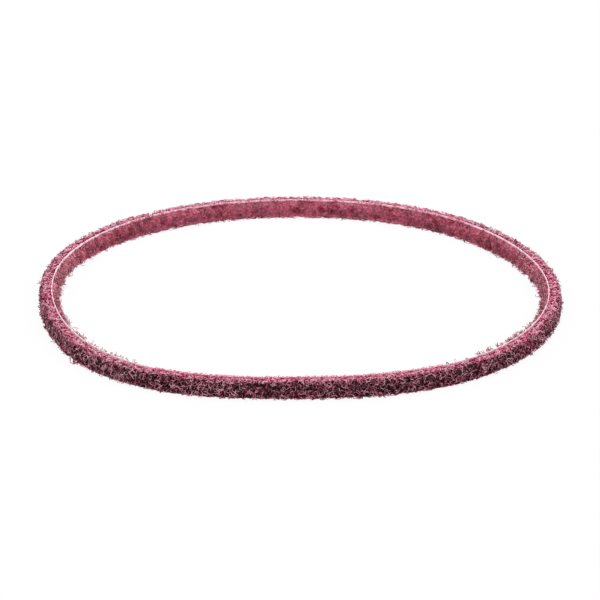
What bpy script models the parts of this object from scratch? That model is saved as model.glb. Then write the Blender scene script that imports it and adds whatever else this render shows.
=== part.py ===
# Narrow endless sanding belt of nonwoven abrasive web, lying on its edge as an open loop.
# From the outside in, its bonded layers are the abrasive web, the woven scrim and the nap
# of web fibre that was needled through the scrim. Metres, +Z up. The origin is on the
# surface that the belt lies on, in the middle of the loop's footprint.

import math

import bmesh
import bpy
from mathutils import Vector, noise

# The belt's own sizes
BELT_LENGTH = 0.520
BELT_WIDTH = 0.006
WEB_THICKNESS = 0.0031
SCRIM_THICKNESS = 0.00045
NAP_THICKNESS = 0.0013

# Room left in each bond between two layers
BOND_CLEARANCE = 0.0003

# The web's working edge is worn round, and the foot that the belt lies on hardly is
WEB_SHOULDER_RADIUS = 0.0012
WEB_FOOT_RADIUS = 0.0004

# The nap ends short of the upper edge, and thins out towards it
NAP_SETBACK = 0.0004
NAP_SLOPE_HEIGHT = 0.0015
NAP_FOOT_RADIUS = 0.0003

# The free faces are uneven
WEB_LUMP_HEIGHT = 0.00030
NAP_LUMP_HEIGHT = 0.00020
LUMP_LENGTH = 0.0045

# The ends of the web meet at a splice, where they leave a V-shaped groove to the scrim
SPLICE_ANGLE = math.radians(126.1)
SPLICE_WIDTH = 0.0011
SPLICE_ROOT = 0.0005

# How the limp loop leaves the circle: waves in each turn, their height, their phase
LOOP_WAVES = (
    (3, 0.00099, math.radians(53.5)),
    (4, 0.00122, math.radians(163.0)),
    (5, 0.00049, math.radians(-78.0)),
    (6, 0.00031, math.radians(18.4)),
)

# Fineness of the facets, and how near two points are the same one
STATIONS = 180
LENGTH_SAMPLES = 3600
CORNER_STEPS = 3
SAME_POINT = 0.00001


def wave_height(angle):
    return sum(height * math.cos(count * angle + phase) for count, height, phase in LOOP_WAVES)


def wave_slope(angle):
    return sum(-count * height * math.sin(count * angle + phase) for count, height, phase in LOOP_WAVES)


def run_length(mean_radius):
    total = 0.0
    for sample in range(LENGTH_SAMPLES):
        angle = 2 * math.pi * sample / LENGTH_SAMPLES
        total += math.hypot(mean_radius + wave_height(angle), wave_slope(angle))
    return total * 2 * math.pi / LENGTH_SAMPLES


def mean_radius_for(length):
    # The waves hardly lengthen the loop, so a few corrections settle it.
    radius = length / (2 * math.pi)
    for _ in range(5):
        radius += (length - run_length(radius)) / (2 * math.pi)
    return radius


MEAN_RADIUS = mean_radius_for(BELT_LENGTH)


def loop_point(angle, offset):
    # The point at this distance outside the scrim's middle line, square to the line.
    radius = MEAN_RADIUS + wave_height(angle)
    along = Vector((math.cos(angle), math.sin(angle)))
    across = Vector((-math.sin(angle), math.cos(angle)))
    outward = (along * radius - across * wave_slope(angle)).normalized()
    return along * radius + outward * offset, outward


def corner(middle_offset, middle_height, radius, first_turn):
    # A quarter round from one turn of 90 degrees to the next, clockwise in the X-Z plane.
    points = []
    for step in range(CORNER_STEPS + 1):
        turn = math.radians(first_turn - 90.0 * step / CORNER_STEPS)
        points.append((middle_offset + radius * math.cos(turn), middle_height + radius * math.sin(turn)))
    return points


def web_section():
    bond = SCRIM_THICKNESS / 2 + BOND_CLEARANCE
    face = bond + WEB_THICKNESS
    shoulder = WEB_SHOULDER_RADIUS
    points = [(bond, 0.0), (bond, BELT_WIDTH)]
    points += corner(face - shoulder, BELT_WIDTH - shoulder, shoulder, 90.0)
    points.append((face, BELT_WIDTH / 2))
    points += corner(face - WEB_FOOT_RADIUS, WEB_FOOT_RADIUS, WEB_FOOT_RADIUS, 0.0)
    return points


def nap_section():
    bond = -SCRIM_THICKNESS / 2 - BOND_CLEARANCE
    face = bond - NAP_THICKNESS
    top = BELT_WIDTH - NAP_SETBACK
    points = [(bond, top), (bond, 0.0)]
    points += corner(face + NAP_FOOT_RADIUS, NAP_FOOT_RADIUS, NAP_FOOT_RADIUS, -90.0)
    points.append((face, (top - NAP_SLOPE_HEIGHT) / 2))
    points.append((face, top - NAP_SLOPE_HEIGHT))
    return points


def scrim_section():
    half = SCRIM_THICKNESS / 2
    return [(-half, 0.0), (-half, BELT_WIDTH), (half, BELT_WIDTH), (half, 0.0)]


def add_profile(name, section, collection):
    mesh = bpy.data.meshes.new(name)
    shape = bmesh.new()
    corners = [shape.verts.new((MEAN_RADIUS + offset, 0.0, height)) for offset, height in section]
    for first, second in zip(corners, corners[1:] + corners[:1]):
        shape.edges.new((first, second))
    shape.to_mesh(mesh)
    shape.free()
    profile = bpy.data.objects.new(name, mesh)
    collection.objects.link(profile)
    return profile


def turn_profile(profile):
    # Turns the section into a round ring, and makes the ring a plain mesh.
    turning = profile.modifiers.new("turn", "SCREW")
    turning.axis = "Z"
    turning.angle = 2 * math.pi
    turning.steps = STATIONS
    turning.render_steps = STATIONS
    turning.use_merge_vertices = True
    turning.merge_threshold = SAME_POINT
    graph = bpy.context.evaluated_depsgraph_get()
    ring = bpy.data.meshes.new_from_object(profile.evaluated_get(graph))
    profile.modifiers.remove(turning)
    profile.data = ring


def lay_on_loop(ring, lump_height):
    # Carries each point of the round ring over to the limp loop. The bonded side stays
    # even, and the free side gets lumps. Heights stay as they are, so the edges are flat.
    offsets = [math.hypot(point.co.x, point.co.y) - MEAN_RADIUS for point in ring.vertices]
    bonded = min(abs(offset) for offset in offsets)
    for point, offset in zip(ring.vertices, offsets):
        angle = math.atan2(point.co.y, point.co.x)
        place, outward = loop_point(angle, offset)
        if abs(offset) > bonded + SAME_POINT:
            spot = Vector((place.x, place.y, point.co.z)) / LUMP_LENGTH
            place += outward * math.copysign(lump_height, offset) * noise.noise(spot)
        point.co.x = place.x
        point.co.y = place.y


def face_out(ring):
    shape = bmesh.new()
    shape.from_mesh(ring)
    bmesh.ops.recalc_face_normals(shape, faces=shape.faces)
    shape.to_mesh(ring)
    shape.free()
    ring.shade_smooth()
    ring.set_sharp_from_angle(angle=math.radians(40.0))


def add_layer(name, section, lump_height, material, collection):
    layer = add_profile(name, section, collection)
    turn_profile(layer)
    lay_on_loop(layer.data, lump_height)
    face_out(layer.data)
    layer.data.materials.append(material)
    return layer


def add_splice_cutter(collection):
    # A three-sided prism whose edge points at the scrim and whose far side clears the lumps.
    apex = SCRIM_THICKNESS / 2 + BOND_CLEARANCE + SPLICE_ROOT
    groove_depth = WEB_THICKNESS - SPLICE_ROOT
    cut_depth = groove_depth + 2 * WEB_LUMP_HEIGHT
    cut_width = SPLICE_WIDTH * cut_depth / groove_depth
    shape = bmesh.new()
    bmesh.ops.create_cone(shape, cap_ends=True, segments=3, radius1=1.0, radius2=1.0, depth=1.0)
    tip = max(shape.verts, key=lambda corner_point: math.hypot(corner_point.co.x, corner_point.co.y))
    turn = math.pi - math.atan2(tip.co.y, tip.co.x)
    for point in shape.verts:
        x = point.co.x * math.cos(turn) - point.co.y * math.sin(turn)
        y = point.co.x * math.sin(turn) + point.co.y * math.cos(turn)
        point.co.x = (x + 1.0) * cut_depth / 1.5
        point.co.y = y * cut_width / math.sqrt(3.0)
        point.co.z *= 2 * BELT_WIDTH
    bmesh.ops.recalc_face_normals(shape, faces=shape.faces)
    mesh = bpy.data.meshes.new("splice_cutter")
    shape.to_mesh(mesh)
    shape.free()
    cutter = bpy.data.objects.new("splice_cutter", mesh)
    place, outward = loop_point(SPLICE_ANGLE, apex)
    cutter.location = (place.x, place.y, BELT_WIDTH / 2)
    cutter.rotation_euler = (0.0, 0.0, math.atan2(outward.y, outward.x))
    cutter.hide_render = True
    cutter.display_type = "WIRE"
    collection.objects.link(cutter)
    return cutter


def cut_splice(web, cutter):
    groove = web.modifiers.new("splice_groove", "BOOLEAN")
    groove.operation = "DIFFERENCE"
    groove.solver = "EXACT"
    groove.object = cutter


def footprint_middle(mesh):
    xs = [point.co.x for point in mesh.vertices]
    ys = [point.co.y for point in mesh.vertices]
    return (min(xs) + max(xs)) / 2, (min(ys) + max(ys)) / 2


def add_material(name, colour, roughness):
    material = bpy.data.materials.new(name)
    material.use_nodes = True
    shader = material.node_tree.nodes["Principled BSDF"]
    shader.inputs["Base Color"].default_value = (*colour, 1.0)
    shader.inputs["Roughness"].default_value = roughness
    shader.inputs["Metallic"].default_value = 0.0
    return material


def clear_scene():
    for thing in list(bpy.data.objects):
        bpy.data.objects.remove(thing, do_unlink=True)


def add_collection(name):
    collection = bpy.data.collections.new(name)
    bpy.context.scene.collection.children.link(collection)
    return collection


def build():
    clear_scene()
    belt = add_collection("sanding_belt")
    cutters = add_collection("cutters")

    coated = add_material("coated_nylon_web", (0.155, 0.048, 0.066), 0.95)
    woven = add_material("polyester_scrim", (0.80, 0.70, 0.72), 0.80)
    bare = add_material("bare_nylon_nap", (0.40, 0.125, 0.185), 0.95)

    web = add_layer("abrasive_web", web_section(), WEB_LUMP_HEIGHT, coated, belt)
    scrim = add_layer("woven_scrim", scrim_section(), 0.0, woven, belt)
    nap = add_layer("needled_nap", nap_section(), NAP_LUMP_HEIGHT, bare, belt)
    cutter = add_splice_cutter(cutters)
    cut_splice(web, cutter)

    # Everything hangs on one empty, which brings the footprint's middle to the origin.
    middle_x, middle_y = footprint_middle(web.data)
    carrier = bpy.data.objects.new("belt_carrier", None)
    carrier.location = (-middle_x, -middle_y, 0.0)
    belt.objects.link(carrier)
    for piece in (web, scrim, nap, cutter):
        piece.parent = carrier


build()
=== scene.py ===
import math

import bmesh
import bpy
import numpy as np
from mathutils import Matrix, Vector, noise


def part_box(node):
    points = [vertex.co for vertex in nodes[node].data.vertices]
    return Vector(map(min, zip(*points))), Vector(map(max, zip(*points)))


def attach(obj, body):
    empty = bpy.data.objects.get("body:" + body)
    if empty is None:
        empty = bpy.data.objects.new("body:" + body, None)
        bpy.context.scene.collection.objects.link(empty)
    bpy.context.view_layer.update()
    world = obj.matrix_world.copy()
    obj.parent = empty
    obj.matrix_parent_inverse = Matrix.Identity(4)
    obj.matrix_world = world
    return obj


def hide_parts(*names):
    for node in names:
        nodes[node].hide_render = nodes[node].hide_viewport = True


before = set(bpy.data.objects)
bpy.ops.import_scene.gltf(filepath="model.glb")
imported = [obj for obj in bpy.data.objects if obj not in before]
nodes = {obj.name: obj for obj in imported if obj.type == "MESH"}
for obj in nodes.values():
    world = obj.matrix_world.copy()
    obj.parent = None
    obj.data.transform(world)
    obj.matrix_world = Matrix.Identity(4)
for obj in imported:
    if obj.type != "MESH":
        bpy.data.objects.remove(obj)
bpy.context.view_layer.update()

scene = bpy.context.scene
mm = 0.001
print("frame loaded:", ", ".join(sorted(nodes)))


# camera, at the photograph's angle
cameraView = dict(distance=1.4, elevation=21.3, lens=254.4, sensor=36.0, farthest=20.0, aimHeight=0.00026)


def addCamera():
    tilt = math.radians(cameraView["elevation"])
    camera = bpy.data.objects.new("view_camera", bpy.data.cameras.new("view_camera"))
    camera.data.sensor_width = cameraView["sensor"]
    camera.data.lens = cameraView["lens"]
    camera.data.clip_end = cameraView["farthest"]
    camera.location = (
        0.0,
        -cameraView["distance"] * math.cos(tilt),
        cameraView["distance"] * math.sin(tilt) + cameraView["aimHeight"],
    )
    camera.rotation_euler = (math.pi / 2 - tilt, 0.0, 0.0)
    scene.collection.objects.link(camera)
    scene.camera = camera


def linear(red, green, blue):
    # a screen colour, 0 to 255, as the shader's own numbers
    def one(value):
        part = value / 255
        return part / 12.92 if part <= 0.04045 else ((part + 0.055) / 1.055) ** 2.4

    return (one(red), one(green), one(blue), 1.0)


def addNode(tree, kind, inputs=None, **settings):
    # each input is a value, or a socket that it is linked to
    node = tree.nodes.new(kind)
    for key, value in settings.items():
        setattr(node, key, value)
    for key, value in (inputs or {}).items():
        if isinstance(value, bpy.types.NodeSocket):
            tree.links.new(value, node.inputs[key])
        else:
            node.inputs[key].default_value = value
    return node


def addMath(tree, operation, first, second=0.0, third=0.0):
    return addNode(tree, "ShaderNodeMath", {0: first, 1: second, 2: third}, operation=operation).outputs[0]


def addVector(tree, x, y, z):
    return addNode(tree, "ShaderNodeCombineXYZ", {0: x, 1: y, 2: z}).outputs[0]


def addScaled(tree, vector, size):
    return addNode(tree, "ShaderNodeVectorMath", {0: vector, 3: size}, operation="SCALE").outputs[0]


def addNoise(tree, where, scale, detail):
    return addNode(tree, "ShaderNodeTexNoise", {"Vector": where, "Scale": scale, "Detail": detail}).outputs


# stage: a pale floor that shows white to the camera and keeps a faint shadow
stageLook = dict(size=6.0, whiteShare=0.90, paper=0.88, world=0.62)
softboxes = (
    dict(name="overhead_softbox", place=(0.0, 0.3, 1.3), size=0.9, power=9.0),
    dict(name="front_softbox", place=(0.5, -1.2, 0.7), size=0.9, power=2.2),
    dict(name="side_softbox", place=(1.0, -0.1, 0.8), size=0.7, power=1.6),
    dict(name="left_softbox", place=(-1.1, 0.1, 0.9), size=0.7, power=1.3),
)
fullWhite = (1.0, 1.0, 1.0, 1.0)


def addStage():
    bpy.ops.mesh.primitive_plane_add(size=stageLook["size"])
    floor = bpy.context.object
    floor.name = "pale_floor"
    material = bpy.data.materials.new("white_paper")
    material.use_nodes = True
    tree = material.node_tree
    tree.nodes.clear()
    rays = addNode(tree, "ShaderNodeLightPath")
    seen = addMath(tree, "MAXIMUM", rays.outputs["Is Camera Ray"], rays.outputs["Is Glossy Ray"])
    share = addMath(tree, "MULTIPLY", seen, stageLook["whiteShare"])
    paper = stageLook["paper"]
    diffuse = addNode(tree, "ShaderNodeBsdfDiffuse", {"Color": (paper, paper, paper, 1.0)})
    glow = addNode(tree, "ShaderNodeEmission", {"Color": fullWhite, "Strength": 1.0})
    both = addNode(tree, "ShaderNodeMixShader", {0: share, 1: diffuse.outputs[0], 2: glow.outputs[0]})
    addNode(tree, "ShaderNodeOutputMaterial", {"Surface": both.outputs[0]})
    floor.data.materials.append(material)


def addWorld():
    world = bpy.data.worlds.new("soft_room")
    scene.world = world
    world.use_nodes = True
    tree = world.node_tree
    tree.nodes.clear()
    rays = addNode(tree, "ShaderNodeLightPath")
    room = addNode(tree, "ShaderNodeBackground", {"Color": fullWhite, "Strength": stageLook["world"]})
    white = addNode(tree, "ShaderNodeBackground", {"Color": fullWhite, "Strength": 1.0})
    both = addNode(
        tree,
        "ShaderNodeMixShader",
        {0: rays.outputs["Is Camera Ray"], 1: room.outputs[0], 2: white.outputs[0]},
    )
    addNode(tree, "ShaderNodeOutputWorld", {"Surface": both.outputs[0]})


def addSoftbox(name, place, size, power):
    lamp = bpy.data.lights.new(name, "AREA")
    lamp.shape = "SQUARE"
    lamp.size = size
    lamp.energy = power
    softbox = bpy.data.objects.new(name, lamp)
    softbox.location = place
    softbox.rotation_euler = (-Vector(place)).to_track_quat("-Z", "Y").to_euler()
    scene.collection.objects.link(softbox)


def addLights():
    addWorld()
    for softbox in softboxes:
        addSoftbox(**softbox)


def pointsOf(mesh):
    spots = np.empty(len(mesh.vertices) * 3, np.float32)
    mesh.vertices.foreach_get("co", spots)
    return spots.reshape(-1, 3).astype(float)


def movePoints(mesh, spots):
    mesh.vertices.foreach_set("co", spots.astype(np.float32).ravel())
    mesh.update()


# the loop's plan, read from the scrim of the frame
loopFit = dict(waves=10)


def readLoop():
    points = pointsOf(nodes["woven_scrim"].data)
    angle = np.arctan2(points[:, 1], points[:, 0])
    columns = [np.ones_like(angle)]
    for turn in range(1, loopFit["waves"] + 1):
        columns += [np.cos(turn * angle), np.sin(turn * angle)]
    fit = np.linalg.lstsq(np.stack(columns, 1), np.hypot(points[:, 0], points[:, 1]), rcond=None)
    return fit[0]


loopWaves = readLoop()


def loopRadius(angle):
    total = np.full_like(angle, loopWaves[0])
    for turn in range(1, loopFit["waves"] + 1):
        total += loopWaves[2 * turn - 1] * np.cos(turn * angle) + loopWaves[2 * turn] * np.sin(turn * angle)
    return total


def loopSlope(angle):
    total = np.zeros_like(angle)
    for turn in range(1, loopFit["waves"] + 1):
        total += turn * loopWaves[2 * turn] * np.cos(turn * angle)
        total -= turn * loopWaves[2 * turn - 1] * np.sin(turn * angle)
    return total


def onLoop(angle, offset, height):
    # the points at these distances outside the scrim's middle line
    radius, slope = loopRadius(angle), loopSlope(angle)
    size = np.hypot(radius, slope)
    cosine, sine = np.cos(angle), np.sin(angle)
    x = radius * cosine + offset * (radius * cosine + slope * sine) / size
    y = radius * sine + offset * (radius * sine - slope * cosine) / size
    return np.stack([x, y, height + 0 * x], -1)


def offLoop(points):
    # angle and distance outside the scrim's middle line, of many points at once
    angle = np.arctan2(points[:, 1], points[:, 0])
    radius, slope = loopRadius(angle), loopSlope(angle)
    return angle, (np.hypot(points[:, 0], points[:, 1]) - radius) * radius / np.hypot(radius, slope)


# where the root of the splice is looked for, as distances from the bonded side of the web
spliceBand = dict(near=0.2 * mm, far=1.2 * mm)


def readBelt():
    # how far the working face lies outside the scrim's middle line, the belt's width, and its splice
    angle, offset = offLoop(pointsOf(nodes["abrasive_web"].data))
    depth = offset - offset.min()
    atRoot = (depth > spliceBand["near"]) & (depth < spliceBand["far"])
    return dict(face=offset.max(), width=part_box("woven_scrim")[1].z, spliceAngle=float(angle[atRoot].mean()))


belt = readBelt()
print("belt:", belt)


def smooth(value, low, high):
    part = np.clip((value - low) / (high - low), 0.0, 1.0)
    return part * part * (3 - 2 * part)


def wander(points, length, seed):
    # a slow change from place to place, -1 to 1
    shift = Vector((seed * 7.31, seed * 3.17, seed * 5.53))
    return np.array([noise.noise(Vector(point) / length + shift) for point in points])


def ringMesh(name, section, stations, closed, gap=None):
    # the section, carried round the loop; gap tells from a face's middle whether it is left out
    angle = np.arange(stations) * math.tau / stations
    offset = np.array([point[0] for point in section])
    height = np.array([point[1] for point in section])
    rows = len(section)
    grid = onLoop(angle[:, None], offset[None, :], height[None, :])
    spots = grid.reshape(-1, 3)
    faces = []
    for station in range(stations):
        after = (station + 1) % stations
        for row in range(rows if closed else rows - 1):
            across = (row + 1) % rows
            here, there = station * rows, after * rows
            faces.append((here + row, here + across, there + across, there + row))
    if gap:
        corners = spots[np.array(faces)].mean(1)
        faces = [face for face, middle in zip(faces, corners) if not gap(middle)]
    mesh = bpy.data.meshes.new(name)
    mesh.from_pydata(spots.tolist(), [], faces)
    mesh.update()
    return mesh


def addPiece(name, mesh):
    piece = bpy.data.objects.new(name, mesh)
    scene.collection.objects.link(piece)
    return piece


def roundedSection(size):
    # a closed section with rounded corners, going up the inner side and down the outer one
    points = []
    low, high, floor, top = size["inner"], size["outer"], size["floor"], size["top"]

    def arc(x, z, radius, start):
        count = max(2, int(radius * math.pi / 2 / size["step"]) + 1)
        for part in range(count + 1):
            turn = math.radians(start - 90 * part / count)
            points.append((x + radius * math.cos(turn), z + radius * math.sin(turn)))

    def run(x, z):
        # fills the straight stretch to the next corner
        lastX, lastZ = points[-1]
        count = int(math.hypot(x - lastX, z - lastZ) / size["step"])
        for part in range(1, count):
            share = part / count
            points.append((lastX + (x - lastX) * share, lastZ + (z - lastZ) * share))

    innerLow, innerTop, outerTop, outerLow = size["rounds"]
    arc(low + innerLow, floor + innerLow, innerLow, 270)
    run(low, top - innerTop)
    arc(low + innerTop, top - innerTop, innerTop, 180)
    run(high - outerTop, top)
    arc(high - outerTop, top - outerTop, outerTop, 90)
    run(high, floor + outerLow)
    arc(high - outerLow, floor + outerLow, outerLow, 0)
    run(low + innerLow, floor)
    return points


def setUv(mesh, across, up):
    # one map for looks and for painting out: across is the fibre's tone with its painted shade and light, up
    # is its coat
    layer = mesh.uv_layers.new(name="OFBake")
    corner = np.empty(len(mesh.loops), np.int32)
    mesh.loops.foreach_get("vertex_index", corner)
    both = np.stack([across[corner], up[corner]], 1)
    layer.data.foreach_set("uv", both.astype(np.float32).ravel())


def valuesOf(mesh, name):
    values = np.empty(len(mesh.vertices), np.float32)
    mesh.attributes[name].data.foreach_get("value", values)
    return values.astype(float)


def keepValues(mesh, name, values):
    mesh.attributes.new(name, "FLOAT", "POINT").data.foreach_set("value", values.astype(np.float32))


def fromTable(table, angle):
    # a value that changes round the loop, from a table of degrees and values
    degrees, values = zip(*table)
    return np.interp(np.degrees(angle), degrees, values)


# materials
fibreLook = dict(roughness=0.85, shine=0.25, sheen=0.15, grit=0.12 * mm, gritShare=0.35, gritDepth=0.03 * mm)
sheenLook = dict(roughness=0.5, tint=(1.0, 0.55, 0.66, 1.0))
depthLook = dict(roughness=0.95, shine=0.15, grit=0.25 * mm)


def addMaterial(name, roughness, shine, sheen=0.0):
    material = bpy.data.materials.new(name)
    material.use_nodes = True
    tree = material.node_tree
    shader = tree.nodes["Principled BSDF"]
    shader.inputs["Roughness"].default_value = roughness
    shader.inputs["Specular IOR Level"].default_value = shine
    shader.inputs["Sheen Weight"].default_value = sheen
    shader.inputs["Sheen Roughness"].default_value = sheenLook["roughness"]
    shader.inputs["Sheen Tint"].default_value = sheenLook["tint"]
    return material, tree, shader


def addRamp(tree, factor, stops):
    ramp = addNode(tree, "ShaderNodeValToRGB", {"Fac": factor})
    band = ramp.color_ramp
    while len(band.elements) < len(stops):
        band.elements.new(0.5)
    for element, (place, colour) in zip(band.elements, stops):
        element.position = place
        element.color = linear(*colour)
    return ramp.outputs["Color"]


def mixColours(tree, factor, first, second):
    return addNode(tree, "ShaderNodeMix", {0: factor, 6: first, 7: second}, data_type="RGBA").outputs[2]


def addPatches(tree, size, detail):
    # patches of about this size, which stay with the object
    where = addNode(tree, "ShaderNodeTexCoord").outputs["Object"]
    return addNoise(tree, where, 1 / size, detail)["Fac"]


def addGrain(tree, shader, size, strength, depth):
    # fine grit or crimp on the strand, as bump
    inputs = {"Height": addPatches(tree, size, 2.0), "Strength": strength, "Distance": depth}
    tree.links.new(addNode(tree, "ShaderNodeBump", inputs).outputs[0], shader.inputs["Normal"])


def fibreMaterial(name, bare, coated):
    # across the map runs the fibre's tone with its painted shade and light, up it runs its coat of grit
    look = fibreLook
    material, tree, shader = addMaterial(name, look["roughness"], look["shine"], look["sheen"])
    place = addNode(tree, "ShaderNodeUVMap", uv_map="OFBake").outputs[0]
    parts = addNode(tree, "ShaderNodeSeparateXYZ", {0: place})
    clean = addRamp(tree, parts.outputs[0], bare)
    gritty = addRamp(tree, parts.outputs[0], coated)
    colour = mixColours(tree, parts.outputs[1], clean, gritty)
    tree.links.new(colour, shader.inputs["Base Color"])
    addGrain(tree, shader, look["grit"], look["gritShare"], look["gritDepth"])
    return material


def depthMaterial(name, look):
    # the felt behind the strands: two patchy looks, mixed by a value that the mesh keeps
    material, tree, shader = addMaterial(name, depthLook["roughness"], depthLook["shine"])
    share = addNode(tree, "ShaderNodeAttribute", attribute_name=look["mixedBy"]).outputs["Fac"]
    patches = addPatches(tree, look["patch"], 3.0)
    colours = [addRamp(tree, patches, stops) for stops in (look["first"], look["second"])]
    tree.links.new(mixColours(tree, share, *colours), shader.inputs["Base Color"])
    addGrain(tree, shader, depthLook["grit"], look["gritShare"], look["gritDepth"])
    return material


# the dark low ends of barePink and coatGrey are where the painted shade between and under the strands takes a
# strand's tone
barePink = [(0.0, (66, 2, 20)), (0.3, (212, 58, 112)), (0.6, (254, 128, 172)), (1.0, (255, 216, 228))]
coatGrey = [(0.0, (24, 6, 11)), (0.3, (92, 43, 54)), (0.65, (190, 116, 134)), (1.0, (246, 194, 206))]
napPink = [(0.0, (120, 26, 44)), (0.4, (194, 88, 110)), (0.75, (234, 136, 158)), (1.0, (248, 186, 200))]
napMauve = [(0.0, (96, 36, 54)), (0.4, (168, 92, 118)), (0.75, (212, 144, 166)), (1.0, (232, 186, 200))]
looseGrey = [(0.0, (66, 44, 50)), (0.5, (128, 88, 98)), (1.0, (190, 140, 152))]


# fibres: curly strands scattered over a sheet
strandSizes = ("density", "ragged", "curlRadius", "curlHeight", "turns", "thickness", "lowest", "highest",
               "tilt", "stand", "waveLength", "waveHeight", "ground", "ceiling", "fineness")
# each random draw of a strand has its own shift of the seed, and the first three are kept on the mesh
draws = dict(tone=1, coatChance=2, lift=3, kind=4, forward=5, sideways=6, spin=7, roll=8, size=9)
keptDraws = ("tone", "coatChance", "lift")
# kinds of curl, from a hook to a loop and a bit: shares of the turns and the radius, and points in a turn
curlKinds = ((0.35, 1.6, 11), (0.55, 1.2, 9), (0.8, 0.85, 8), (0.22, 2.6, 15))
strandShape = dict(sides=3, taper=0.7, smallest=0.65, largest=1.35, raggedLength=1.7 * mm, raggedTop=0.6,
                   gritLength=0.6 * mm, gritSwell=0.9, leastThick=0.55)


def addSockets(tree):
    face = tree.interface
    face.new_socket("Geometry", in_out="INPUT", socket_type="NodeSocketGeometry")
    for label in strandSizes:
        face.new_socket(label, in_out="INPUT", socket_type="NodeSocketFloat")
    face.new_socket("seed", in_out="INPUT", socket_type="NodeSocketInt")
    face.new_socket("material", in_out="INPUT", socket_type="NodeSocketMaterial")
    face.new_socket("Geometry", in_out="OUTPUT", socket_type="NodeSocketGeometry")


def addDraw(tree, given, label, low=0.0, high=1.0):
    # a random number for each strand
    seed = addMath(tree, "ADD", given["seed"], float(draws[label]))
    inputs = {2: low, 3: high, 8: seed}
    return addNode(tree, "FunctionNodeRandomValue", inputs, data_type="FLOAT").outputs[1]


def seatStrands(tree, given):
    # scatters the places of the strands over the sheet, and lifts them off it or sinks them in it
    inputs = {"Mesh": given["Geometry"], "Density": given["density"], "Seed": given["seed"]}
    scatter = addNode(tree, "GeometryNodeDistributePointsOnFaces", inputs).outputs
    points = scatter["Points"]
    for label in keptDraws:
        inputs = {0: points, 2: label, 3: addDraw(tree, given, label)}
        store = addNode(tree, "GeometryNodeStoreNamedAttribute", inputs, data_type="FLOAT", domain="POINT")
        points = store.outputs[0]
    reach = addMath(tree, "SUBTRACT", given["highest"], given["lowest"])
    lift = addMath(tree, "MULTIPLY_ADD", reach, addDraw(tree, given, "lift"), given["lowest"])
    raised = addScaled(tree, scatter["Normal"], lift)
    seated = addNode(tree, "GeometryNodeSetPosition", {0: points, 3: raised})
    return seated.outputs[0], scatter["Rotation"]


def addCurls(tree, given):
    # one curl of each kind, moved to stand about its own middle
    kinds = []
    down = addMath(tree, "MULTIPLY", given["curlHeight"], -0.5)
    for turns, widen, points in curlKinds:
        wide = addMath(tree, "MULTIPLY", given["curlRadius"], widen)
        inputs = {
            "Resolution": addMath(tree, "MULTIPLY", given["fineness"], float(points)),
            "Rotations": addMath(tree, "MULTIPLY", given["turns"], turns),
            "Start Radius": wide,
            "End Radius": addMath(tree, "MULTIPLY", wide, strandShape["taper"]),
            "Height": given["curlHeight"],
        }
        spiral = addNode(tree, "GeometryNodeCurveSpiral", inputs).outputs[0]
        aside = addMath(tree, "MULTIPLY", wide, -strandShape["taper"])
        middle = addVector(tree, aside, 0.0, down)
        centred = addNode(tree, "GeometryNodeSetPosition", {0: spiral, 3: middle}).outputs[0]
        kinds.append(addNode(tree, "GeometryNodeGeometryToInstance", {0: centred}).outputs[0])
    bundle = tree.nodes.new("GeometryNodeJoinGeometry")
    for kind in kinds:
        tree.links.new(kind, bundle.inputs[0])
    return bundle.outputs[0]


def turnStrands(tree, given, rotation):
    # spins each strand on the sheet, leans it over, and rolls it about itself
    least, most = addMath(tree, "MULTIPLY", given["tilt"], -1.0), given["tilt"]
    forward = addMath(tree, "ADD", addDraw(tree, given, "forward", least, most), given["stand"])
    sideways = addDraw(tree, given, "sideways", least, most)
    spin = addVector(tree, 0.0, 0.0, addDraw(tree, given, "spin", 0.0, math.tau))
    lean = addVector(tree, forward, sideways, 0.0)
    roll = addVector(tree, 0.0, 0.0, addDraw(tree, given, "roll", 0.0, math.tau))
    for turn in (spin, lean, roll):
        angles = addNode(tree, "FunctionNodeEulerToRotation", {0: turn}).outputs[0]
        inputs = {0: rotation, 1: angles}
        rotation = addNode(tree, "FunctionNodeRotateRotation", inputs, rotation_space="LOCAL").outputs[0]
    return rotation


def placeStrands(tree, given):
    seated, rotation = seatStrands(tree, given)
    seed = addMath(tree, "ADD", given["seed"], float(draws["kind"]))
    inputs = {4: 0, 5: len(curlKinds) - 1, 8: seed}
    kind = addNode(tree, "FunctionNodeRandomValue", inputs, data_type="INT").outputs[2]
    size = addDraw(tree, given, "size", strandShape["smallest"], strandShape["largest"])
    inputs = {
        "Points": seated,
        "Instance": addCurls(tree, given),
        "Pick Instance": True,
        "Instance Index": kind,
        "Rotation": turnStrands(tree, given, rotation),
        "Scale": addVector(tree, size, size, size),
    }
    placed = addNode(tree, "GeometryNodeInstanceOnPoints", inputs)
    return addNode(tree, "GeometryNodeRealizeInstances", {0: placed.outputs[0]}).outputs[0]


def crimpStrands(tree, given, strands):
    # small waves in every strand
    where = addNode(tree, "GeometryNodeInputPosition").outputs[0]
    waves = addNoise(tree, where, addMath(tree, "DIVIDE", 1.0, given["waveLength"]), 1.0)["Color"]
    around = addNode(tree, "ShaderNodeVectorMath", {0: waves, 1: (0.5, 0.5, 0.5)}, operation="SUBTRACT")
    shaken = addScaled(tree, around.outputs[0], given["waveHeight"])
    return addNode(tree, "GeometryNodeSetPosition", {0: strands, 3: shaken}).outputs[0]


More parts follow.
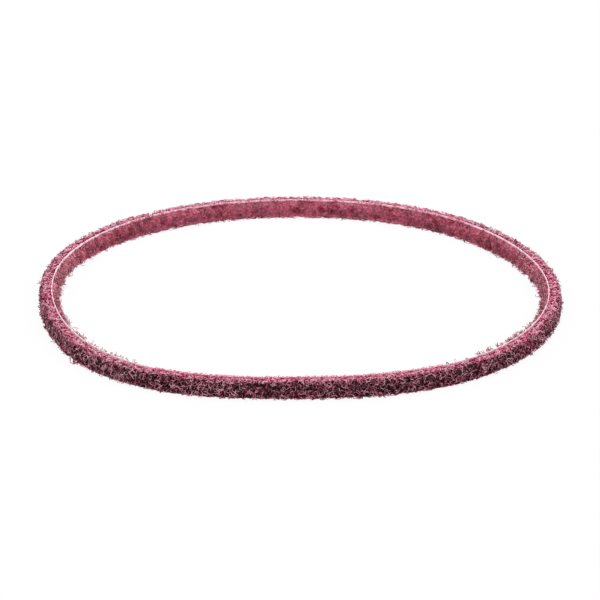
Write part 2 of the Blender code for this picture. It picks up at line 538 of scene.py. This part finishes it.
def endStrands(tree, given, strands):
    # the cut edges are uneven: strands near them end a little higher here and lower there
    where = addNode(tree, "GeometryNodeInputPosition").outputs[0]
    x, y, z = addNode(tree, "ShaderNodeSeparateXYZ", {0: where}).outputs
    swell = addNoise(tree, addVector(tree, x, y, 0.0), 1 / strandShape["raggedLength"], 1.0)["Fac"]
    share = addNode(tree, "ShaderNodeMapRange", {0: swell, 1: 0.3, 2: 0.7}).outputs[0]
    rise = addMath(tree, "MULTIPLY", share, given["ragged"])
    lowest = addMath(tree, "ADD", given["ground"], rise)
    highest = addMath(tree, "MULTIPLY_ADD", rise, -strandShape["raggedTop"], given["ceiling"])
    height = addMath(tree, "MINIMUM", addMath(tree, "MAXIMUM", z, lowest), highest)
    kept = addVector(tree, x, y, height)
    return addNode(tree, "GeometryNodeSetPosition", {0: strands, 2: kept}).outputs[0]


def thickenStrands(tree, given, strands):
    # the grit makes a strand uneven along its length
    where = addNode(tree, "GeometryNodeInputPosition").outputs[0]
    grit = addNoise(tree, where, 1 / strandShape["gritLength"], 1.0)["Fac"]
    uneven = addMath(tree, "MULTIPLY_ADD", grit, strandShape["gritSwell"], strandShape["leastThick"])
    radius = addMath(tree, "MULTIPLY", given["thickness"], 0.5)
    circle = {"Resolution": strandShape["sides"], "Radius": radius}
    profile = addNode(tree, "GeometryNodeCurvePrimitiveCircle", circle).outputs[0]
    inputs = {"Curve": strands, "Profile Curve": profile, "Scale": uneven, "Fill Caps": True}
    tube = addNode(tree, "GeometryNodeCurveToMesh", inputs).outputs[0]
    coloured = addNode(tree, "GeometryNodeSetMaterial", {0: tube, 2: given["material"]}).outputs[0]
    return addNode(tree, "GeometryNodeRealizeInstances", {0: coloured}).outputs[0]


def strandTree():
    tree = bpy.data.node_groups.new("curly_strands", "GeometryNodeTree")
    addSockets(tree)
    given = addNode(tree, "NodeGroupInput").outputs
    strands = placeStrands(tree, given)
    for step in (crimpStrands, endStrands, thickenStrands):
        strands = step(tree, given, strands)
    addNode(tree, "NodeGroupOutput", {0: strands})
    return tree


strandGroup = strandTree()


def growStrands(name, sheet, sizes):
    sizes = dict(sizes)
    sizes["density"] = sizes.pop("count") / sum(face.area for face in sheet.polygons)
    base = addPiece(name + "_sheet", sheet)
    grow = base.modifiers.new("strands", "NODES")
    grow.node_group = strandGroup
    inputs = [item for item in strandGroup.interface.items_tree if item.in_out == "INPUT"]
    sockets = {item.name: item.identifier for item in inputs}
    for label, value in sizes.items():
        grow[sockets[label]] = value
    graph = bpy.context.evaluated_depsgraph_get()
    mesh = bpy.data.meshes.new_from_object(
        base.evaluated_get(graph), preserve_all_data_layers=True, depsgraph=graph
    )
    mesh.name = name
    base.modifiers.remove(grow)
    bpy.data.objects.remove(base)
    trimStrands(mesh)
    mesh.shade_smooth()
    triangles = sum(len(face.vertices) - 2 for face in mesh.polygons)
    print(name, "triangles:", triangles)
    return mesh


# painted shade in the places between the strands: how deep a hollow starts to darken, and how deep it is
# nearly black
hollowShadeLook = dict(size=0.8 * mm, darker=(0.0, 0.3), black=(0.28, 0.42), blackness=0.75)
# neighbouring corners of a facet sit a hair apart on the map, so that it has a width there
mapRoom = dict(share=0.97, hair=0.004, least=0.002, most=0.998)


def paintStrands(mesh, toneAndShadeOf, coatOf, hollowShade=0.0):
    # the last argument says how dark the painted shade is in the deep places between the strands
    spots = pointsOf(mesh)
    offset, height = offLoop(spots)[1], spots[:, 2]
    tone, chance, lift = (valuesOf(mesh, label) for label in keptDraws)
    index = np.arange(len(spots))
    across = toneAndShadeOf(tone, lift, offset, height) * mapRoom["share"] + mapRoom["hair"] * (index % 3)
    if hollowShade:
        # painted shade: the deep places between the strands are darkened, some nearly to black
        deep = -wander(spots, hollowShadeLook["size"], 15)
        across = across * (1 - hollowShade * smooth(deep, *hollowShadeLook["darker"]))
        across = across * (1 - hollowShadeLook["blackness"] * smooth(deep, *hollowShadeLook["black"]))
    up = coatOf(chance, offset, height) * mapRoom["share"] + mapRoom["hair"] * (index // 3 % 2)
    setUv(mesh, *(np.clip(part, mapRoom["least"], mapRoom["most"]) for part in (across, up)))
    for label in keptDraws:
        mesh.attributes.remove(mesh.attributes[label])


def dress(piece, slotName, *replaced):
    # puts the piece on the belt's body, and takes the solids that it replaces out of sight
    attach(piece, "root")
    if replaced:
        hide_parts(*replaced)


def addStrands(name, slotName, sheet, sizes, toneAndShadeOf, coatOf, hollowShade=0.0):
    # one finished piece of strands, grown on the sheet
    mesh = growStrands(name, sheet, sizes)
    paintStrands(mesh, toneAndShadeOf, coatOf, hollowShade)
    dress(addPiece(name, mesh), slotName)


def within(place, stretch):
    # whether a place lies in a stretch of the loop that is given in degrees
    turn = math.degrees(math.atan2(place[1], place[0])) - stretch["middle"]
    return abs((turn + 180) % 360 - 180) <= stretch["half"]


# the V between the two ends of the web, as wide as the strands leave it
spliceShape = dict(root=0.9 * mm, depth=2.7 * mm, half=0.6 * mm, least=0.12 * mm)


def spliceShare(points):
    # how far into the V between the two ends of the web: above 0 is inside it
    angle, offset = offLoop(points)
    along = np.abs(angle - belt["spliceAngle"]) * loopWaves[0]
    depth = (offset - spliceShape["root"]) / spliceShape["depth"]
    return np.where(depth > 0, spliceShape["half"] * depth + spliceShape["least"] - along, -1.0)


def spliceGap(middle):
    return spliceShare(np.array([middle]))[0] > 0


# how many stations round the loop the sheets have that the strands grow on
sheetStations = 900


def sheetMesh(name, path, gap=None):
    return ringMesh(name, path, sheetStations, False, gap)


# the worn corners of the working face, how far its strands' sheet lies inside it, and its swell
faceRounds = dict(upper=0.8 * mm, lower=0.3 * mm, foot=0.32 * mm, inset=0.2 * mm, steps=4,
                  swell=0.35 * mm, swellLength=1.9 * mm)
# the far rim is smooth, and nearly bare of bristles
backRim = dict(middle=86, half=44, slack=0.4 * mm)


def standsOut(points):
    # whether the points stand out of the rounded shoulder of the far rim
    angle, offset = offLoop(points)
    turn = np.degrees(angle) - backRim["middle"]
    atBack = np.abs((turn + 180) % 360 - 180) <= backRim["half"]
    across = offset - belt["face"] + faceRounds["inset"] + faceRounds["upper"]
    up = points[:, 2] - belt["width"] + faceRounds["upper"]
    shoulder = faceRounds["upper"] + backRim["slack"]
    return atBack & (across > 0) & (up > 0) & (np.hypot(across, up) > shoulder)


def trimStrands(mesh):
    # cuts away every strand that crosses the V, or that stands out of the far rim
    tone = valuesOf(mesh, "tone")
    spots = pointsOf(mesh)
    crossing = np.unique(tone[(spliceShare(spots) > 0) | standsOut(spots)])
    cut = set(np.nonzero(np.isin(tone, crossing))[0].tolist())
    if cut:
        shape = bmesh.new()
        shape.from_mesh(mesh)
        bmesh.ops.delete(shape, geom=[point for point in shape.verts if point.index in cut], context="VERTS")
        shape.to_mesh(mesh)
        shape.free()


# the web's solid middle, deep between the strands; pairs say where a change begins and ends
webCore = dict(inner=0.22 * mm, outer=2.85 * mm, floor=0.08 * mm, top=5.5 * mm, step=0.45 * mm,
               rounds=(0.1 * mm, 0.1 * mm, 0.7 * mm, 0.1 * mm), stations=760, pitSize=1.2 * mm,
               pitDepth=0.3 * mm, pitted=(0.3 * mm, 0.8 * mm), flare=0.45 * mm,
               flared=(1.5 * mm, 2.5 * mm), coated=(1.3 * mm, 2.1 * mm))
# the second look is the grit's own dark colour, and partly painted shade deep between the strands
webDepth = dict(mixedBy="coat", patch=0.9 * mm, gritShare=0.6, gritDepth=0.1 * mm,
                first=[(0.3, (96, 14, 40)), (0.5, (172, 48, 92)), (0.7, (214, 90, 134))],
                second=[(0.3, (20, 6, 10)), (0.5, (44, 16, 23)), (0.7, (84, 40, 50))])
coreAtSplice = dict(root=0.8 * mm, flat=0.25 * mm, slope=1.6)


def pressSplice(mesh):
    # pulls the core in at the splice, down to its thin root
    for point in mesh.vertices:
        angle, offset = offLoop(np.array([[*point.co]]))
        along = abs(angle[0] - belt["spliceAngle"]) * loopWaves[0]
        beyond = max(0.0, along - coreAtSplice["flat"])
        limit = coreAtSplice["root"] + beyond * coreAtSplice["slope"]
        if offset[0] > limit:
            point.co = Vector(onLoop(angle, np.array([limit]), np.array([point.co.z]))[0])


def coatShare(offset, height):
    # the grit went on the working face, and got a little way down the cut edges
    face = smooth(offset, 2.0 * mm, 3.05 * mm)
    upper = 1 - 0.6 * smooth(height, 4.9 * mm, 5.8 * mm)
    lower = 1 - 0.6 * smooth(-height, -1.2 * mm, -0.2 * mm)
    return face * upper * lower


def makeWebCore():
    size = webCore
    mesh = ringMesh("web_core", roundedSection(size), size["stations"], True)
    spots = pointsOf(mesh)
    normals = np.array([point.normal for point in mesh.vertices])
    pits = wander(spots, size["pitSize"], 1) + 0.6 * wander(spots, 0.45 * size["pitSize"], 2)
    pits = pits * smooth(offLoop(spots)[1], *size["pitted"]) * size["pitDepth"]
    spots = spots + normals * pits[:, None]
    spots[:, 2] = np.maximum(spots[:, 2], size["floor"])
    # the foot is spread a little
    angle, offset = offLoop(spots)
    flare = size["flare"] * smooth(-spots[:, 2], -1.3 * mm, -0.3 * mm) * smooth(offset, *size["flared"])
    spots = onLoop(angle, offset + flare, spots[:, 2])
    movePoints(mesh, spots)
    pressSplice(mesh)
    mesh.materials.append(depthMaterial("web_depth", webDepth))
    keepValues(mesh, "coat", smooth(offLoop(spots)[1], *size["coated"]))
    mesh.shade_smooth()
    dress(addPiece("web_core", mesh), "coated_nylon_web", "abrasive_web")


coatedFace = dict(count=5800, ragged=0.45 * mm, curlRadius=0.85 * mm, curlHeight=0.3 * mm, turns=0.72,
                  thickness=0.225 * mm, lowest=-0.95 * mm, highest=0.05 * mm, tilt=0.25, stand=0.0,
                  waveLength=1.1 * mm, waveHeight=0.9 * mm, ground=0.04 * mm, ceiling=6.15 * mm,
                  fineness=1.35)
# how far round the foot and the shoulder the sheet goes, in degrees
coatedReach = dict(foot=75, shoulder=62)
# the web is a little fuller here, as a share of the swell
fullness = dict(middle=-80, reach=10, swell=0.9)


def outerSheet(name, reach, leaveOut=spliceGap):
    # the working face, with its worn shoulder and foot
    rounds = faceRounds
    outer = belt["face"] - rounds["inset"]
    path = []
    for radius, middle, flare, first, last in (
        (rounds["upper"], belt["width"] - rounds["upper"], 0.0, reach["shoulder"], 0),
        (rounds["lower"], rounds["lower"], rounds["foot"], 0, -reach["foot"]),
    ):
        for part in range(rounds["steps"] + 1):
            turn = math.radians(first + (last - first) * part / rounds["steps"])
            path.append((outer + flare - radius + radius * math.cos(turn), middle + radius * math.sin(turn)))
    mesh = sheetMesh(name, path, leaveOut)
    spots = pointsOf(mesh)
    normals = np.array([point.normal for point in mesh.vertices])
    turn = (np.degrees(offLoop(spots)[0]) - fullness["middle"]) / fullness["reach"]
    swell = wander(spots, rounds["swellLength"], 4) + fullness["swell"] * np.exp(-(turn ** 2))
    movePoints(mesh, spots + normals * (swell * rounds["swell"])[:, None])
    return mesh


def makeCoatedStrands():
    material = fibreMaterial("coated_strands", barePink, coatGrey)

    def tone(value, lift, offset, height):
        # painted shade: deeper strands are darker, and strands near the cut edges are painted lighter, the
        # upper edge more than the lower
        edge = smooth(np.abs(height - 3 * mm), 1.9 * mm, 2.8 * mm) * np.where(height > 3 * mm, 0.65, 0.45)
        litShare = np.maximum(smooth(lift, 0.5, 0.78), edge)
        return np.clip((0.42 + 0.86 * value) * (0.08 + 0.92 * litShare), 0, 1)

    def coat(value, offset, height):
        # one strand in a few has lost its coat, and more of them near the lower edge
        low = smooth(-height, -2.2 * mm, -0.6 * mm)
        worn = 0.75 * smooth(value, 0.8, 0.9) + 0.35 * low * smooth(value, 0.4, 0.8)
        return np.clip(smooth(coatShare(offset, height), 0.1, 0.7) - worn, 0.0, 1.0)

    for name, seed in (("coated_strands_a", 11), ("coated_strands_b", 23)):
        sizes = dict(coatedFace, seed=seed, material=material)
        addStrands(name, "coated_nylon_web", outerSheet(name, coatedReach), sizes, tone, coat, 0.55)


cutEdge = dict(count=5200, ragged=0.4 * mm, curlRadius=0.55 * mm, curlHeight=0.3 * mm, turns=0.85,
               thickness=0.24 * mm, lowest=-0.7 * mm, highest=0.05 * mm, tilt=0.3, stand=0.0,
               waveLength=0.9 * mm, waveHeight=0.7 * mm, ground=0.05 * mm, ceiling=6.15 * mm, fineness=1.2)
# the lower edge hardly shows, and has fewer strands than the upper one
lowerShare = 0.45


def makeEdgeStrands():
    material = fibreMaterial("edge_strands", barePink, coatGrey)

    def tone(value, lift, offset, height):
        # painted shade: deeper strands are darker; the strands are also paler towards the working face
        paler = 1 + 0.6 * smooth(offset, 1.5 * mm, 2.4 * mm)
        return np.clip((0.6 + 0.74 * value) * paler * (0.06 + 0.94 * smooth(lift, 0.33, 0.55)), 0, 1)

    def coat(value, offset, height):
        return smooth(coatShare(offset, height) + 0.9 * (value - 0.4), 0.2, 0.9)

    top = belt["width"]
    upper = [(0.5 * mm, top - 0.05 * mm), (1.4 * mm, top), (2.4 * mm, top - 0.05 * mm),
             (3.0 * mm, top - 0.25 * mm)]
    lower = [(3.3 * mm, 0.35 * mm), (2.8 * mm, 0.15 * mm), (1.4 * mm, 0.15 * mm), (0.45 * mm, 0.15 * mm)]
    for name, path, seed, share in (
        ("upper_edge_strands", upper, 31, 1.0),
        ("lower_edge_strands", lower, 37, lowerShare),
    ):
        sizes = dict(cutEdge, seed=seed, material=material, count=cutEdge["count"] * share)
        addStrands(name, "coated_nylon_web", sheetMesh(name, path, spliceGap), sizes, tone, coat, 0.5)
    makeCrests(material)


crestStrands = dict(cutEdge, ragged=0.0, curlRadius=0.3 * mm, curlHeight=0.1 * mm, lowest=-0.15 * mm,
                    highest=0.1 * mm, tilt=0.12, waveHeight=0.25 * mm, ceiling=6.4 * mm)
crests = (
    dict(name="front_crest", middle=-90, half=32, inner=-0.6 * mm, count=760, seed=67),
    dict(name="back_crest", middle=92, half=46, inner=-0.32 * mm, count=800, seed=71),
)
crestSheet = dict(outer=0.9 * mm, rise=0.1 * mm)


def makeCrests(material):
    # where the belt was last pressed, bare fibres lean over the scrim and hide its edge
    for crest in crests:
        path = [(crest["inner"], belt["width"]), (crestSheet["outer"], belt["width"] + crestSheet["rise"])]
        sheet = sheetMesh(crest["name"], path, lambda place: not within(place, crest))
        sizes = dict(crestStrands, seed=crest["seed"], material=material, count=crest["count"])
        addStrands(crest["name"], "coated_nylon_web", sheet, sizes,
                   lambda value, lift, offset, height: 0.24 + 0.64 * value,
                   lambda value, offset, height: 0.4 * smooth(value, 0.7, 0.9))


# scrim: crosswise and lengthwise yarns on a thin resin film
scrimCloth = dict(half=0.12 * mm, yarn=0.27 * mm, top=6.12 * mm, floor=0.05 * mm, rows=5, picks=320,
                  weave=0.1 * mm, sway=0.14 * mm, swayLength=2.4 * mm)
# the two rows of yarn at the cut edges show, so they are fuller, rounder and laid in finer steps
edgeRow = dict(share=1.0, sides=6, steps=2, weave=0.5)
innerRow = dict(share=0.8, sides=4, steps=1, weave=1.0)
crossYarn = dict(share=0.7, sides=4)
scrimFilm = dict(round=0.05 * mm, below=0.05 * mm, step=1.2 * mm, stations=480)
scrimLook = dict(roughness=0.7, shine=0.3, patch=1.6 * mm, grit=0.08 * mm, gritShare=0.3, gritDepth=0.02 * mm,
                 colours=[(0.3, (255, 244, 247)), (0.55, (252, 230, 237)), (0.7, (232, 172, 192))])


def addYarn(spots, faces, path, radius, sides, closed):
    # a tube with this many sides along the path
    count = len(path)
    base = len(spots)
    for place, point in enumerate(path):
        before = path[(place - 1) % count] if closed or place else path[place]
        after = path[(place + 1) % count] if closed or place < count - 1 else path[place]
        along = Vector(after - before).normalized()
        guide = Vector((0, 0, 1)) if abs(along.z) < 0.7 else Vector(point).normalized()
        across = along.cross(guide).normalized()
        other = across.cross(along)
        for side in range(sides):
            turn = math.tau * side / sides
            spots.append(Vector(point) + radius * (across * math.cos(turn) + other * math.sin(turn)))
    for place in range(count if closed else count - 1):
        here, there = base + place * sides, base + (place + 1) % count * sides
        for side in range(sides):
            beside = (side + 1) % sides
            faces.append((here + side, there + side, there + beside, here + beside))
    if not closed:
        faces.append(tuple(base + side for side in range(sides)))
        faces.append(tuple(base + (count - 1) * sides + side for side in range(sides))[::-1])


def yarnMesh(size):
    spots, faces = [], []
    picks, rows, weave = size["picks"], size["rows"], size["weave"]
    radius = size["yarn"] / 2
    rise = size["top"] - size["floor"] - 2 * radius
    for row in range(rows):
        kind = edgeRow if row in (0, rows - 1) else innerRow
        count = picks * kind["steps"]
        angle = np.arange(count) * math.tau / count
        heights = np.full(count, size["floor"] + radius + rise * row / (rows - 1))
        weaving = kind["weave"] * weave * np.cos(picks / 2 * angle + math.pi * row)
        sway = size["sway"] * wander(onLoop(angle, weaving, heights), size["swayLength"], 12)
        path = onLoop(angle, weaving + sway, heights)
        addYarn(spots, faces, path, radius * kind["share"], kind["sides"], True)
    for pick in range(picks // 2):
        angle = math.tau * (pick + 0.5) / (picks // 2)
        heights = np.linspace(size["floor"], size["top"], 2 * rows - 1)
        weaving = weave * np.cos(np.arange(len(heights)) * math.pi / 2 + math.pi * pick)
        path = onLoop(np.full(len(heights), angle), weaving, heights)
        addYarn(spots, faces, path, radius * crossYarn["share"], crossYarn["sides"], False)
    mesh = bpy.data.meshes.new("scrim_yarns")
    mesh.from_pydata([tuple(spot) for spot in spots], [], faces)
    mesh.update()
    return mesh


# how far the scrim's cut edge stands proud of the web, as degrees and lengths
scrimRise = ((-168, 0.0), (-152, 0.28 * mm), (-137, 0.28 * mm), (-125, 0.0))


def raiseEdge(mesh):
    spots = pointsOf(mesh)
    rise = fromTable(scrimRise, offLoop(spots)[0])
    spots[:, 2] += rise * smooth(spots[:, 2], 4.5 * mm, 5.8 * mm)
    movePoints(mesh, spots)


def makeScrim():
    size, look = scrimCloth, scrimLook
    material, tree, shader = addMaterial("white_scrim", look["roughness"], look["shine"])
    tint = addRamp(tree, addPatches(tree, look["patch"], 2.0), look["colours"])
    tree.links.new(tint, shader.inputs["Base Color"])
    addGrain(tree, shader, look["grit"], look["gritShare"], look["gritDepth"])
    section = roundedSection(dict(inner=-size["half"], outer=size["half"], floor=size["floor"],
                                  top=size["top"] - scrimFilm["below"], rounds=[scrimFilm["round"]] * 4,
                                  step=scrimFilm["step"]))
    film = ringMesh("scrim_film", section, scrimFilm["stations"], True)
    for name, mesh, replaced in (("scrim_film", film, ["woven_scrim"]), ("scrim_yarns", yarnMesh(size), [])):
        raiseEdge(mesh)
        mesh.materials.append(material)
        mesh.shade_smooth()
        dress(addPiece(name, mesh), "polyester_scrim", *replaced)


# nap: felted pink fibre on the inside of the scrim
napCore = dict(inner=-1.75 * mm, outer=-0.12 * mm, floor=0.02 * mm, top=5.8 * mm, step=0.45 * mm,
               rounds=(0.2 * mm, 0.1 * mm, 0.1 * mm, 0.05 * mm), stations=760, lump=0.25 * mm,
               lumpy=(0.2 * mm, 0.7 * mm), setback=0.25 * mm, slope=1.25)
napDepthLook = dict(mixedBy="blotch", patch=0.7 * mm, gritShare=0.5, gritDepth=0.08 * mm,
                    first=[(0.3, (150, 58, 78)), (0.5, (190, 92, 114)), (0.7, (212, 126, 148))],
                    second=[(0.3, (84, 16, 30)), (0.5, (134, 40, 58)), (0.7, (172, 72, 92))])
# the nap's foot is uneven, and starts this high or a little higher
napHem = dict(least=0.05 * mm, rise=0.5 * mm, length=1.6 * mm)
# how thick the nap is round the loop, as degrees and shares of its full depth
napDepth = ((-180, 0.68), (-155, 0.5), (-130, 0.6), (-90, 0.85), (-30, 0.75), (0, 0.9), (50, 1.0), (90, 1.15),
            (125, 1.05), (140, 0.85), (160, 0.62), (170, 0.62), (180, 0.68))


def blotches(spots):
    # darker resin-rich patches, and smoother mauve ones
    dark = 0.8 * wander(spots, 8.0 * mm, 5) + wander(spots, 2.4 * mm, 8) + 0.5 * wander(spots, 1.0 * mm, 10)
    return smooth(dark, 0.0, 0.65), smooth(wander(spots, 5.0 * mm, 9), 0.05, 0.4)


def thinNap(mesh):
    spots = pointsOf(mesh)
    angle, offset = offLoop(spots)
    movePoints(mesh, onLoop(angle, offset * fromTable(napDepth, angle), spots[:, 2]))
    return mesh


def makeNapCore():
    size = napCore
    # the nap thins out towards the upper edge
    highest = size["top"] - size["setback"]
    section = [(x, min(z, highest + size["slope"] * (x - size["outer"]))) for x, z in roundedSection(size)]
    mesh = thinNap(ringMesh("nap_core", section, size["stations"], True))
    spots = pointsOf(mesh)
    normals = np.array([point.normal for point in mesh.vertices])
    lumps = wander(spots, 1.3 * mm, 6) + 0.5 * wander(spots, 0.5 * mm, 7)
    lumps = lumps * smooth(-offLoop(spots)[1], *size["lumpy"]) * size["lump"]
    spots = spots + normals * lumps[:, None]
    ragged = smooth(wander(spots * np.array([1, 1, 0]), napHem["length"], 13), -0.3, 0.5)
    spots[:, 2] = np.maximum(spots[:, 2], napHem["least"] + napHem["rise"] * ragged)
    movePoints(mesh, spots)
    mesh.materials.append(depthMaterial("nap_depth", napDepthLook))
    keepValues(mesh, "blotch", blotches(spots)[0])
    mesh.shade_smooth()
    dress(addPiece("nap_core", mesh), "bare_nylon_nap", "needled_nap")


napStrands = dict(count=5300, ragged=0.3 * mm, curlRadius=0.5 * mm, curlHeight=0.3 * mm, turns=1.1,
                  thickness=0.2 * mm, lowest=-0.25 * mm, highest=0.32 * mm, tilt=0.6, stand=0.0,
                  waveLength=1.2 * mm, waveHeight=0.7 * mm, ground=0.03 * mm, ceiling=6.0 * mm, fineness=1.0)
napPath = [(-1.5 * mm, 0.02 * mm), (-1.9 * mm, 0.1 * mm), (-1.9 * mm, 2.6 * mm), (-1.7 * mm, 3.6 * mm),
           (-1.1 * mm, 4.4 * mm), (-0.35 * mm, 5.3 * mm)]


def makeNapStrands():
    material = fibreMaterial("nap_strands", napPink, napMauve)
    sheet = thinNap(sheetMesh("nap_strands", napPath))
    mesh = growStrands("nap_strands", sheet, dict(napStrands, seed=41, material=material))
    spots = pointsOf(mesh)
    dark, mauve = blotches(spots)

    def tone(value, lift, offset, height):
        # painted light: the nap's upper and lower rims and its left and right flanks are lighter, the right
        # flank most, and higher strands a little lighter; the darker blotches are the nap's own
        rim = np.maximum(smooth(height, 3.6 * mm, 5.2 * mm), 1.35 * smooth(-height, -1.9 * mm, -0.5 * mm))
        flank = smooth(np.abs(spots[:, 0]) / loopWaves[0], 0.82, 0.97) * np.where(spots[:, 0] > 0, 1.4, 1.0)
        return np.clip(0.03 + 0.46 * value + 0.1 * lift - 0.3 * dark + 0.5 * rim + 0.66 * flank, 0, 1)

    def coat(value, offset, height):
        return 0.3 * value + 0.7 * mauve

    paintStrands(mesh, tone, coat)
    dress(addPiece("nap_strands", mesh), "bare_nylon_nap")


# loose curls that stand out of the inside, in clumps, and hardly at the front
looseCurls = dict(count=1500, ragged=0.35 * mm, curlRadius=0.42 * mm, curlHeight=0.4 * mm, turns=1.4,
                  thickness=0.19 * mm, lowest=0.1 * mm, highest=1.2 * mm, tilt=0.7, stand=1.2,
                  waveLength=1.0 * mm, waveHeight=0.8 * mm, ground=0.08 * mm, ceiling=6.4 * mm, fineness=1.0)
clumps = dict(spacing=1.7 * mm, sparse=0.08)
quietFront = dict(middle=-104, half=26)
insidePath = [(-1.8 * mm, 0.4 * mm), (-1.8 * mm, 2.8 * mm), (-1.5 * mm, 4.2 * mm), (-0.3 * mm, 5.5 * mm)]
underRim = [(-1.3 * mm, 4.9 * mm), (-0.3 * mm, 5.7 * mm)]
# more curls at the left and the right, and wisps under the rim there
flankCeiling = 7.5 * mm
flanks = (
    dict(name="left_curls", path=insidePath, middle=183, half=34, count=400, seed=97,
         curlRadius=0.5 * mm, sparse=0.08),
    dict(name="right_curls", path=insidePath, middle=-12, half=30, count=260, seed=101,
         curlRadius=0.42 * mm, sparse=0.08),
    dict(name="left_rim_curls", path=underRim, middle=-150, half=24, count=190, seed=103,
         curlRadius=0.35 * mm, sparse=-0.05),
    dict(name="right_rim_curls", path=underRim, middle=-34, half=16, count=90, seed=107,
         curlRadius=0.35 * mm, sparse=0.08),
)
# bristles that stand out of the working face
bristles = dict(count=1250, ragged=0.2 * mm, curlRadius=0.3 * mm, curlHeight=0.2 * mm, turns=0.9,
                thickness=0.2 * mm, lowest=-0.1 * mm, highest=0.25 * mm, tilt=0.6, stand=1.3,
                waveLength=0.9 * mm, waveHeight=0.6 * mm, ground=0.03 * mm, ceiling=7.5 * mm, fineness=1.0)
bristleReach = dict(foot=60, shoulder=20)


def betweenClumps(place, sparse):
    return noise.noise(Vector(place) / clumps["spacing"]) < sparse


def makeLooseFibres():
    material = fibreMaterial("loose_fibres", napPink, looseGrey)
    sheet = sheetMesh("loose_curls", insidePath, lambda place: within(place, quietFront)
                      or betweenClumps(place, clumps["sparse"]))
    sizes = dict(looseCurls, seed=53, material=material)
    addStrands("loose_curls", "bare_nylon_nap", thinNap(sheet), sizes,
               lambda value, lift, offset, height: 0.05 + 0.6 * value,
               lambda value, offset, height: smooth(value, 0.2, 0.7))
    for flank in flanks:
        name = flank["name"]
        sheet = sheetMesh(name, flank["path"], lambda place: not within(place, flank)
                          or betweenClumps(place, flank["sparse"]))
        sizes = dict(looseCurls, seed=flank["seed"], material=material, count=flank["count"],
                     ceiling=flankCeiling, curlRadius=flank["curlRadius"])
        addStrands(name, "bare_nylon_nap", thinNap(sheet), sizes,
                   lambda value, lift, offset, height: 0.35 + 0.65 * value,
                   lambda value, offset, height: smooth(value, 0.4, 1.0))
    sheet = outerSheet("bristles", bristleReach, lambda place: within(place, backRim))
    addStrands("bristles", "coated_nylon_web", sheet, dict(bristles, seed=59, material=material),
               lambda value, lift, offset, height: 0.5 * value,
               lambda value, offset, height: smooth(value, 0.2, 0.6))


# small tufts pulled out of the working face, at degrees round the loop, heights, sizes and greyness
tufts = dict(places=((-142.4, 0.6 * mm, 2.4, 0.4), (-106, 0.4 * mm, 1.0, 1.0), (-85.2, 0.3 * mm, 1.7, 1.0),
                     (-77.5, 0.3 * mm, 1.7, 1.0), (-73, 0.3 * mm, 1.7, 1.0), (-62, 0.5 * mm, 1.0, 1.0),
                     (-33, 0.6 * mm, 1.0, 1.0), (151, 4.8 * mm, 1.0, 1.0)),
             half=0.6, inset=0.3 * mm, reach=0.4 * mm)
tuftStrands = dict(bristles, count=9, curlRadius=0.4 * mm, thickness=0.22 * mm, lowest=0.0,
                   highest=0.7 * mm, fineness=1.6)


def makeTufts():
    material = fibreMaterial("tuft_strands", barePink, coatGrey)
    outer = belt["face"] - tufts["inset"]
    for number, (middle, height, large, grey) in enumerate(tufts["places"]):
        stretch = dict(middle=middle, half=tufts["half"])
        path = [(outer, height + tufts["reach"]), (outer, height - tufts["reach"])]
        sheet = sheetMesh("tuft", path, lambda place: not within(place, stretch))
        sizes = dict(tuftStrands, seed=83 + number, material=material,
                     curlRadius=tuftStrands["curlRadius"] * large ** 0.5,
                     thickness=tuftStrands["thickness"] * large ** 0.4,
                     highest=tuftStrands["highest"] * large)
        addStrands("tuft_%d" % number, "coated_nylon_web", sheet, sizes,
                   lambda value, lift, offset, height: 0.1 + 0.4 * value,
                   lambda value, offset, height: grey * smooth(value, 0.0, 0.4))


addCamera()
addStage()
addLights()
print("stage and lights ready")
makeWebCore()
makeCoatedStrands()
makeEdgeStrands()
print("web ready")
makeScrim()
print("scrim ready")
makeNapCore()
makeNapStrands()
makeLooseFibres()
makeTufts()
print("nap and loose fibres ready")
scene.view_settings.view_transform = "Standard"
